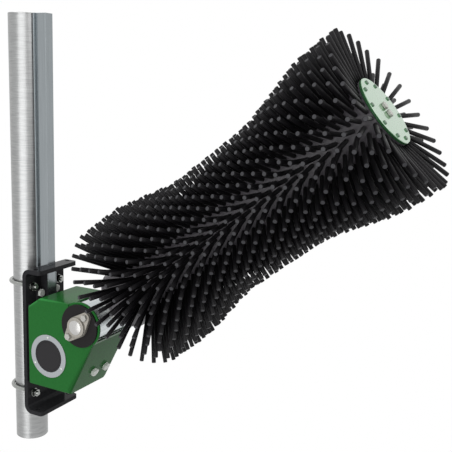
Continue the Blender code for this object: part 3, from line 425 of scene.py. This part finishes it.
def hexagonal(flats, height, bore=0.0, base=0.0):
    """A hexagon nut or head with its corners turned down at 30 degrees to a round flat top."""
    around = 48
    corner, top_r = flats / math.sqrt(3), flats / 2 * 0.93
    drop = (corner - top_r) * math.tan(math.radians(30))
    bm = bmesh.new()

    def hex_radius(angle):
        part = (angle + math.pi / 6) % (math.pi / 3) - math.pi / 6
        return flats / 2 / math.cos(math.pi / 6 - abs(part))

    def hex_loop(height_of):
        made = []
        for i in range(around):
            angle = 2 * math.pi * i / around
            radius = hex_radius(angle)
            made.append(bm.verts.new((radius * math.cos(angle), radius * math.sin(angle), height_of(radius))))
        return made

    loops = [circle(bm, bore, base, around)] if bore else []
    loops.append(hex_loop(lambda radius: base))
    loops.append(hex_loop(lambda radius: height - drop * (radius - top_r) / (corner - top_r)))
    loops.append(circle(bm, top_r, height, around))
    if bore:
        loops.append(circle(bm, bore, height, around))
        loops.append(loops[0])
    for first, second in zip(loops, loops[1:]):
        bridge(bm, first, second)
    if not bore:
        bm.faces.new(loops[0])
        bm.faces.new(loops[-1])
    return bm


def joined(*parts):
    """Several closed bodies in one bmesh."""
    whole = bmesh.new()
    for part in parts:
        mesh = bpy.data.meshes.new("part")
        part.to_mesh(mesh)
        part.free()
        whole.from_mesh(mesh)
        bpy.data.meshes.remove(mesh)
    return whole


def piece(name, bm, place, material, slot, body, *nodes):
    """Writes a bmesh as a finished piece that rides on a body and stands for its solids."""
    bmesh.ops.recalc_face_normals(bm, faces=bm.faces)
    mesh = bpy.data.meshes.new(name)
    bm.to_mesh(mesh)
    bm.free()
    mesh.transform(place)
    mesh.shade_smooth()
    mesh.set_sharp_from_angle(angle=SMOOTH_ANGLE)
    mesh.materials.append(material)
    obj = bpy.data.objects.new(name, mesh)
    bpy.context.scene.collection.objects.link(obj)
    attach(obj, body)
    if nodes:
        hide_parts(*nodes)
    return obj


def hex_bolt(flats, head, radius, length):
    """A bolt whose head stands on a round washer face, with its shank below, as overlapping bodies."""
    head_from, washer_top, shank_top, washer_r = 0.0004, 0.0006, 0.001, flats / 2 * 0.97
    return joined(
        hexagonal(flats, head, base=head_from), lathe(bar(radius, -length, shank_top), 32),
        lathe(bar(washer_r, 0, washer_top, edge=0.0001), 48),
    )


# %% [markdown]
# ## The post and its clamps

# %%
piece(
    "post_tube", lathe(tube(POST_R - POST_WALL, POST_R, POST_LOW, POST_HIGH, edge=0.0005), 128),
    Matrix.Identity(4), galvanised, "galvanised", "stand", "post",
)


def u_bolt():
    """The bent rod with its two threaded legs, drawn along a path of points, outward directions and radii."""
    bend_steps, around = 48, 20
    centre_x = U_BEND_R - ROD_R - POST_R - GAP
    leg_end = WEB_FRONT + U_WASHER_T + U_NUT_H + 3 * GAP + ROD_PAST_NUT
    thread_from = WEB_FRONT - 0.004
    path = []
    steps = round((leg_end - thread_from) / (THREAD_PITCH / 2))
    for i in range(steps + 1):
        x = leg_end - (leg_end - thread_from) * i / steps
        path.append((x, -U_BEND_R, 0, -1, ROD_R - (THREAD_DEPTH if i % 2 else 0)))
    for i in range(bend_steps + 1):
        angle = -math.pi / 2 - math.pi * i / bend_steps
        out = (math.cos(angle), math.sin(angle))
        path.append((centre_x + U_BEND_R * out[0], U_BEND_R * out[1], out[0], out[1], ROD_R))
    for x, y, out_x, out_y, radius in path[:steps + 1][::-1]:
        path.append((x, -y, out_x, -out_y, radius))
    bm = bmesh.new()
    loops = []
    for x, y, out_x, out_y, radius in path:
        loop = []
        for i in range(around):
            angle = 2 * math.pi * i / around
            across = radius * math.cos(angle)
            loop.append(bm.verts.new((x + out_x * across, y + out_y * across, radius * math.sin(angle))))
        loops.append(loop)
    for first, second in zip(loops, loops[1:]):
        bridge(bm, first, second)
    bm.faces.new(loops[0])
    bm.faces.new(loops[-1])
    return bm


washer_x = WEB_FRONT + GAP
nut_x = washer_x + U_WASHER_T + GAP
for row, level in (("upper", U_LEVEL), ("lower", -U_LEVEL)):
    piece(f"u_rod_{row}", u_bolt(), at(0, 0, level), nut_zinc, "zinc", "stand", f"u_bolt_{row}")
    for side, y in (("near", -U_BEND_R), ("far", U_BEND_R)):
        piece(
            f"u_ring_{row}_{side}", lathe(tube(ROD_R + GAP, U_WASHER_R, 0, U_WASHER_T, edge=0.0002), 48),
            at(washer_x, y, level, ALONG_X), nut_zinc, "zinc", "stand", f"u_washer_{row}_{side}",
        )
        piece(
            f"u_hexagon_{row}_{side}", hexagonal(U_NUT_FLATS, U_NUT_H, bore=ROD_R + GAP),
            at(nut_x, y, level, ALONG_X), nut_zinc, "zinc", "stand", f"u_nut_{row}_{side}",
        )

# %% [markdown]
# ## The housing's bolts, bearings and badge place

# %%
for side, y in (("near", -EAR_BOLT_Y), ("far", EAR_BOLT_Y)):
    piece(
        f"ear_bolt_{side}", hex_bolt(*EAR_BOLT), at(BACK_FRONT + GAP, y, EAR_BOLT_Z, ALONG_X),
        zinc, "zinc", "stand", f"mounting_bolt_{side}",
    )

slant = Vector((math.cos(SLANT_ANGLE), 0, math.sin(SLANT_ANGLE)))
slant_out = Vector((math.sin(SLANT_ANGLE), 0, -math.cos(SLANT_ANGLE)))
slant_foot = PIVOT + slant_out * SLANT_OFFSET
slant_corner = slant_foot + slant * ((SHELL_LOW - slant_foot.z) / slant.z)
bolt_row = slant_corner + slant * BUFFER_BOLT_UP + slant_out * GAP
for side, y in (("near", STOP_Y - BUFFER_BOLT_SPACING / 2), ("far", STOP_Y + BUFFER_BOLT_SPACING / 2)):
    piece(
        f"stop_bolt_{side}", hex_bolt(*BUFFER_BOLT),
        at(bolt_row.x, y, bolt_row.z, Matrix.Rotation(math.pi - SLANT_ANGLE, 4, "Y")),
        zinc, "zinc", "stand", f"buffer_bolt_{side}",
    )


def arc(centre, radius, start, end, steps):
    """Points on an arc, with both its ends."""
    return [
        (
            centre[0] + radius * math.cos(start + (end - start) * i / steps),
            centre[1] + radius * math.sin(start + (end - start) * i / steps),
        )
        for i in range(steps + 1)
    ]


def flange_casting():
    """The two-lobed plate and the stepped hub, as two overlapping bodies. Its dome has its own material."""
    spread = math.acos((HUB_R - FLANGE_LOBE_R) / FLANGE_LOBE)
    outline = arc((FLANGE_LOBE, 0), FLANGE_LOBE_R, -spread, spread, 20)
    outline += arc((0, 0), HUB_R, spread, math.pi - spread, 16)[1:-1]
    outline += arc((-FLANGE_LOBE, 0), FLANGE_LOBE_R, math.pi - spread, math.pi + spread, 20)
    outline += arc((0, 0), HUB_R, math.pi + spread, 2 * math.pi - spread, 16)[1:-1]
    bm = bmesh.new()
    lower = bm.faces.new([bm.verts.new((x, y, 0)) for x, y in outline])
    drawn = bmesh.ops.extrude_face_region(bm, geom=[lower])["geom"]
    rising = [v for v in drawn if isinstance(v, bmesh.types.BMVert)]
    bmesh.ops.translate(bm, verts=rising, vec=(0, 0, FLANGE_T))
    upper = [f for f in drawn if isinstance(f, bmesh.types.BMFace)][0]
    bmesh.ops.bevel(bm, geom=list(upper.edges), offset=0.0016, segments=3, profile=0.5, affect="EDGES")
    step, top, side, round_r = FLANGE_T + HUB_STEP, FLANGE_T + HUB_H, HUB_R - 0.001, 0.0018
    quarter = [math.pi / 2 * i / 10 for i in range(11)]
    profile = [(0, FLANGE_T / 2), (side, FLANGE_T / 2)]
    profile += [(side - round_r * (1 - math.cos(a)), step - round_r * (1 - math.sin(a))) for a in quarter]
    profile += [(HUB_DOME_R, step)]
    profile += [(HUB_DOME_R * math.cos(a), step + (top - step) * math.sin(a)) for a in quarter[1:-1]]
    profile += [(0, top)]
    hub = lathe(profile, 72)
    for face in hub.faces:
        face.material_index = 1 if face.calc_center_median().z > step + 0.00005 else 0
    return joined(bm, hub)


for side, turned_out, out in (("near", TO_NEAR, -1), ("far", TO_FAR, 1)):
    piece(
        f"disc_{side}", lathe(tube(DISC_BORE, DISC_R, 0, DISC_T, edge=0.0005), 112),
        at(PIVOT.x, out * (SHELL_HALF + GAP), PIVOT.z, turned_out), disc_dark, "black_coat", "stand",
        f"bearing_disc_{side}",
    )
    slanted = Matrix.Rotation(-out * FLANGE_TURN, 4, "Z")
    casting = piece(
        f"casting_{side}", flange_casting(),
        at(PIVOT.x, out * (DISC_OUT + GAP), PIVOT.z, turned_out) @ slanted,
        cast, "cast", "stand", f"flange_bearing_{side}",
    )
    casting.data.materials.append(cast_bright)
    for row, angle in (("upper", FLANGE_TURN), ("lower", FLANGE_TURN + math.pi)):
        piece(
            f"lobe_bolt_{side}_{row}", hex_bolt(*LOBE_BOLT),
            at(
                PIVOT.x + FLANGE_LOBE * math.cos(angle), out * (FLANGE_OUT + GAP),
                PIVOT.z + FLANGE_LOBE * math.sin(angle), turned_out,
            ),
            dull_zinc, "zinc", "stand", f"bearing_bolt_{side}_{row}",
        )

badge_place = Matrix.Translation(BADGE) @ TO_NEAR
piece(
    "badge_rim", lathe(tube(BADGE_INNER_R, BADGE_R, 0, BADGE_T, edge=0.0003), 128), badge_place,
    badge_silver, "silver", "stand", "badge_ring",
)
badge_top, groove = BADGE_T * 0.6, BADGE_INNER_R - GROOVE_IN
badge_profile = bar(BADGE_INNER_R - 0.0004, 0, badge_top, edge=0.0002)[:-1]
badge_profile += [
    (groove, badge_top), (groove - GROOVE_HALF, badge_top - GROOVE_HALF),
    (groove - 2 * GROOVE_HALF, badge_top), (0, badge_top),
]
piece("badge_centre", lathe(badge_profile, 128), badge_place, badge_dark, "dark", "stand", "badge_disc")

rivet_profile = [(0, -RIVET_DEPTH), (RIVET_SHANK_R, -RIVET_DEPTH), (RIVET_SHANK_R, 0), (RIVET_R, 0)]
rivet_profile += [
    (RIVET_R * math.cos(a), RIVET_HEAD * math.sin(a)) for a in (math.pi / 2 * i / 5 for i in range(1, 5))
]
rivet_profile += [(0, RIVET_HEAD)]
for index in range(3):
    angle = math.pi / 2 + index * 2 * math.pi / 3
    along, rise = RIVET_CIRCLE_R * math.cos(angle), RIVET_CIRCLE_R * math.sin(angle)
    place = BADGE + Vector((along, -BADGE_T - GAP, rise))
    piece(
        f"rivet_{index + 1}", lathe(rivet_profile, 24), Matrix.Translation(place) @ TO_NEAR,
        zinc, "zinc", "stand", f"badge_rivet_{index + 1}",
    )

# %% [markdown]
# ## The drum and the arm

# %%
piece(
    "drum_skin", lathe(tube(DRUM_R - DRUM_WALL, DRUM_R, -DRUM_HALF, DRUM_HALF, edge=0.0006), 128),
    Matrix.Translation(PIVOT) @ TO_NEAR, brushed, "brushed", "arm", "drum_tube",
)
piece(
    "arm_bar", lathe(tube(ARM_R - ARM_WALL, ARM_R, DRUM_R - DRUM_WALL - 0.001, ARM_TO), 72), BRUSH,
    steel, "steel", "arm", "arm_tube",
)

# %% [markdown]
# ## The brush core and its far disc

# %%
near_disc_end = CORE_FROM + NEAR_DISC_T
piece(
    "core_skin", lathe(tube(CORE_R - CORE_WALL, CORE_R, near_disc_end + GAP, CORE_TO), 112), BRUSH,
    dark_enamel, "dark", "brush", "core_tube",
)
piece(
    "core_lid", lathe(tube(NEAR_DISC_BORE, CORE_R, CORE_FROM, near_disc_end, edge=0.0012), 112), BRUSH,
    dark_enamel, "dark", "brush", "near_end_disc",
)
far_lid = piece(
    "far_lid", lathe(bar(FAR_DISC_R, CORE_TO + GAP, FAR_DISC_FACE, edge=0.0009), 128), BRUSH,
    disc_green, "green", "brush", "far_end_disc",
)
# The disc's side and back take a rougher, darker copy of its green: the darker tone is painted shade beside
# the lighter face.
far_lid.data.materials.append(rim_green_shaded)
outward = BRUSH.to_3x3().col[2]
for polygon in far_lid.data.polygons:
    polygon.material_index = 0 if polygon.normal.dot(outward) > 0.3 else 1
for side, x in (("upper", -HUB_BOLT_OFFSET), ("lower", HUB_BOLT_OFFSET)):
    piece(
        f"lid_bolt_{side}", hex_bolt(*LID_BOLT), BRUSH @ at(x, 0, FAR_DISC_FACE + GAP),
        dull_zinc, "zinc", "brush", f"hub_bolt_{side}",
    )

# %% [markdown]
# ## Bristles and ring screws by Geometry Nodes
# One bristle is a rod of unit length. The nodes count points into rings, work out each ring's
# radius and lean from its place along the brush, and set one rod on each point.


# %%
def unit_bristle():
    """A rod of unit length whose flat cut end has its own lighter material, a painted highlight."""
    bm = bmesh.new()
    profile = ((BRISTLE_R * 0.98, 0), (BRISTLE_R, 0.99), (BRISTLE_R * 0.86, 1))
    loops = [circle(bm, radius, height, 10) for radius, height in profile]
    for first, second in zip(loops, loops[1:]):
        bridge(bm, first, second)
    for face in bm.faces:
        face.smooth = True
    end = bm.faces.new(loops[-1])
    end.material_index = 1
    bm.faces.new(loops[0][::-1])
    return bm


def unit_screw():
    """A small screw with a round head and a short shank."""
    shank_r, head_r, crown_r = 0.0022, 0.0042, 0.0034
    profile = [(0, -0.004), (shank_r, -0.004), (shank_r, 0), (head_r, 0), (head_r, 0.0012), (crown_r, 0.0024)]
    return lathe(profile + [(0, 0.0028)], 20)


def bare_object(name, bm, materials):
    """An object with a bmesh's faces that rides on nothing yet."""
    mesh = bpy.data.meshes.new(name)
    bmesh.ops.recalc_face_normals(bm, faces=bm.faces)
    bm.to_mesh(mesh)
    bm.free()
    for material in materials:
        mesh.materials.append(material)
    obj = bpy.data.objects.new(name, mesh)
    bpy.context.scene.collection.objects.link(obj)
    return obj


def grown(name, build, source):
    """Runs a node group that sets copies of a source object on points, and returns the plain mesh object."""
    group = bpy.data.node_groups.new(name, "GeometryNodeTree")
    group.interface.new_socket("Geometry", in_out="OUTPUT", socket_type="NodeSocketGeometry")
    points, rotation, scale = build(group)
    rod = add(group, "GeometryNodeObjectInfo", {"Object": source}).outputs["Geometry"]
    copies = add(
        group, "GeometryNodeInstanceOnPoints",
        {"Points": points, "Instance": rod, "Rotation": rotation, "Scale": scale},
    ).outputs["Instances"]
    real = add(group, "GeometryNodeRealizeInstances", {"Geometry": copies}).outputs["Geometry"]
    add(group, "NodeGroupOutput", {"Geometry": real})
    host = bare_object(name, bmesh.new(), [])
    host.modifiers.new("grow", "NODES").node_group = group
    bpy.context.view_layer.update()
    mesh = bpy.data.meshes.new_from_object(host.evaluated_get(bpy.context.evaluated_depsgraph_get()))
    host.modifiers.clear()
    bpy.data.objects.remove(host)
    bpy.data.objects.remove(source)
    mesh.name = name
    obj = bpy.data.objects.new(name, mesh)
    bpy.context.scene.collection.objects.link(obj)
    return obj


def bristle_points(group):
    """The points of all bristles on the core, with the turn and the length of each."""
    count = RING_COUNT * PER_RING
    cloud = add(group, "GeometryNodePoints", {"Count": count}).outputs[0]
    index = add(group, "GeometryNodeInputIndex").outputs[0]
    ring = math_node(group, "FLOOR", math_node(group, "DIVIDE", index, PER_RING))
    share = math_node(group, "DIVIDE", ring, RING_COUNT - 1)
    end = math_node(group, "SUBTRACT", math_node(group, "MULTIPLY", share, 2), 1)
    reach = add(
        group, "ShaderNodeMapRange",
        {
            "Value": math_node(group, "ABSOLUTE", end), "From Min": FLARE_START, "From Max": FLARE_END,
            "To Min": WAIST_R, "To Max": END_R,
        }, interpolation_type="SMOOTHSTEP",
    ).outputs["Result"]
    far_half = math_node(group, "GREATER_THAN", end, 0)
    most = math_node(group, "MULTIPLY_ADD", far_half, FAR_LEAN - NEAR_LEAN, NEAR_LEAN)
    cubed = math_node(group, "MULTIPLY", end, math_node(group, "MULTIPLY", end, end))
    lean = math_node(group, "MULTIPLY", cubed, most)
    root = math_node(group, "MULTIPLY_ADD", share, LAST_ROOT - FIRST_ROOT, FIRST_ROOT)
    set_in = math_node(group, "MULTIPLY", math_node(group, "TANGENT", lean), SLEEVE_R - CORE_R)
    root = math_node(group, "SUBTRACT", root, set_in)
    stagger = math_node(group, "MULTIPLY", math_node(group, "MODULO", ring, 2), 0.5)
    step = math_node(group, "ADD", math_node(group, "MODULO", index, PER_RING), stagger)
    angle = math_node(group, "MULTIPLY", step, 2 * math.pi / PER_RING)
    cosine, sine = math_node(group, "COSINE", angle), math_node(group, "SINE", angle)
    place = add(group, "ShaderNodeCombineXYZ", {
        "X": math_node(group, "MULTIPLY", cosine, CORE_R),
        "Y": math_node(group, "MULTIPLY", sine, CORE_R),
        "Z": root,
    }).outputs[0]
    placed = add(group, "GeometryNodeSetPosition", {"Geometry": cloud, "Position": place}).outputs[0]
    aim = add(group, "ShaderNodeCombineXYZ", {
        "X": math_node(group, "MULTIPLY", cosine, math_node(group, "COSINE", lean)),
        "Y": math_node(group, "MULTIPLY", sine, math_node(group, "COSINE", lean)),
        "Z": math_node(group, "SINE", lean),
    }).outputs[0]
    wander = add(
        group, "FunctionNodeRandomValue",
        {0: (-WANDER,) * 3, 1: (WANDER,) * 3, "Seed": 7}, data_type="FLOAT_VECTOR",
    ).outputs[0]
    aim = add(group, "ShaderNodeVectorMath", {0: aim, 1: wander}, operation="ADD").outputs[0]
    rotation = add(group, "FunctionNodeAlignRotationToVector", {"Vector": aim}, axis="Z").outputs[0]
    trim = add(group, "FunctionNodeRandomValue", {2: -TRIM, 3: 0.0, "Seed": 3}, data_type="FLOAT").outputs[1]
    height = math_node(group, "SUBTRACT", reach, CORE_R)
    length = math_node(group, "DIVIDE", height, math_node(group, "COSINE", lean))
    length = math_node(group, "ADD", length, trim)
    scale = add(group, "ShaderNodeCombineXYZ", {"X": 1.0, "Y": 1.0, "Z": length}).outputs[0]
    return placed, rotation, scale


def screw_points(group):
    """Screws on a circle near the far disc's rim."""
    cloud = add(group, "GeometryNodePoints", {"Count": SCREWS}).outputs[0]
    index = add(group, "GeometryNodeInputIndex").outputs[0]
    angle = math_node(group, "MULTIPLY_ADD", index, 2 * math.pi / SCREWS, SCREW_TURN)
    place = add(group, "ShaderNodeCombineXYZ", {
        "X": math_node(group, "MULTIPLY", math_node(group, "COSINE", angle), SCREW_CIRCLE),
        "Y": math_node(group, "MULTIPLY", math_node(group, "SINE", angle), SCREW_CIRCLE),
        "Z": FAR_DISC_FACE,
    }).outputs[0]
    placed = add(group, "GeometryNodeSetPosition", {"Geometry": cloud, "Position": place}).outputs[0]
    return placed, (0, 0, 0), (1, 1, 1)


bristles = grown("bristles", bristle_points, bare_object("bristle", unit_bristle(), [nylon, nylon_tip_highlight]))
bristles.data.transform(BRUSH)
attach(bristles, "brush")
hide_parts("bristle_section_near", "bristle_section_middle", "bristle_section_far")

ring_screws = grown("ring_screws", screw_points, bare_object("screw", unit_screw(), [greenish_screw_finish]))
ring_screws.data.transform(BRUSH)
ring_screws.data.shade_smooth()
ring_screws.data.set_sharp_from_angle(angle=SMOOTH_ANGLE)
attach(ring_screws, "brush")

# %% [markdown]
# ## Light
# The camera and the reflections see plain white. The light itself is brighter from above than from
# below, with a large soft lamp at the camera's left, a weaker one on the right and a small one above.

# %%
world = bpy.data.worlds.new("studio")
bpy.context.scene.world = world
world.use_nodes = True
sky = world.node_tree
sky.nodes.clear()
direction = add(sky, "ShaderNodeTexCoord").outputs["Generated"]
upward = add(sky, "ShaderNodeSeparateXYZ", {"Vector": direction}).outputs["Z"]
strength = add(
    sky, "ShaderNodeMapRange",
    {"Value": upward, "From Min": -0.7, "From Max": 0.6, "To Min": 0.22, "To Max": 0.95},
    interpolation_type="SMOOTHSTEP",
).outputs["Result"]
lit = add(sky, "ShaderNodeBackground", {"Color": (1, 1, 1, 1), "Strength": strength}).outputs[0]
plain = add(sky, "ShaderNodeBackground", {"Color": (1, 1, 1, 1), "Strength": 1.0}).outputs[0]
rays = add(sky, "ShaderNodeLightPath").outputs
seen = math_node(sky, "MAXIMUM", rays["Is Camera Ray"], rays["Is Glossy Ray"])
seen = math_node(sky, "MAXIMUM", seen, rays["Is Transmission Ray"])
shown = add(sky, "ShaderNodeMixShader", {0: seen, 1: lit, 2: plain}).outputs[0]
add(sky, "ShaderNodeOutputWorld", {"Surface": shown})


def soft_lamp(name, place, target, width, height, power, roll=0.0):
    """A flat area lamp aimed at a point, its own axes turned by roll about that aim."""
    lamp = bpy.data.objects.new(name, bpy.data.lights.new(name, "AREA"))
    bpy.context.scene.collection.objects.link(lamp)
    lamp.data.shape = "RECTANGLE"
    lamp.data.size, lamp.data.size_y = width, height
    lamp.data.energy = power
    lamp.location = place
    aim = (Vector(target) - Vector(place)).to_track_quat("-Z", "Y").to_matrix()
    lamp.rotation_euler = (aim @ Matrix.Rotation(roll, 3, "Z")).to_euler()


soft_lamp(
    "key lamp", (0.4, -1.96, 0.2), (0.1, 0, 0.1), width=1.7, height=3.2, power=33, roll=math.radians(-25),
)
soft_lamp("side lamp", (2.0, -0.3, 1.3), (0.3, 0, 0.2), width=1.4, height=1.4, power=9)
soft_lamp("top lamp", (-0.75, -0.4, 1.75), (0.1, 0, 0.1), width=0.7, height=0.7, power=6)

bpy.context.scene.view_settings.view_transform = "Standard"
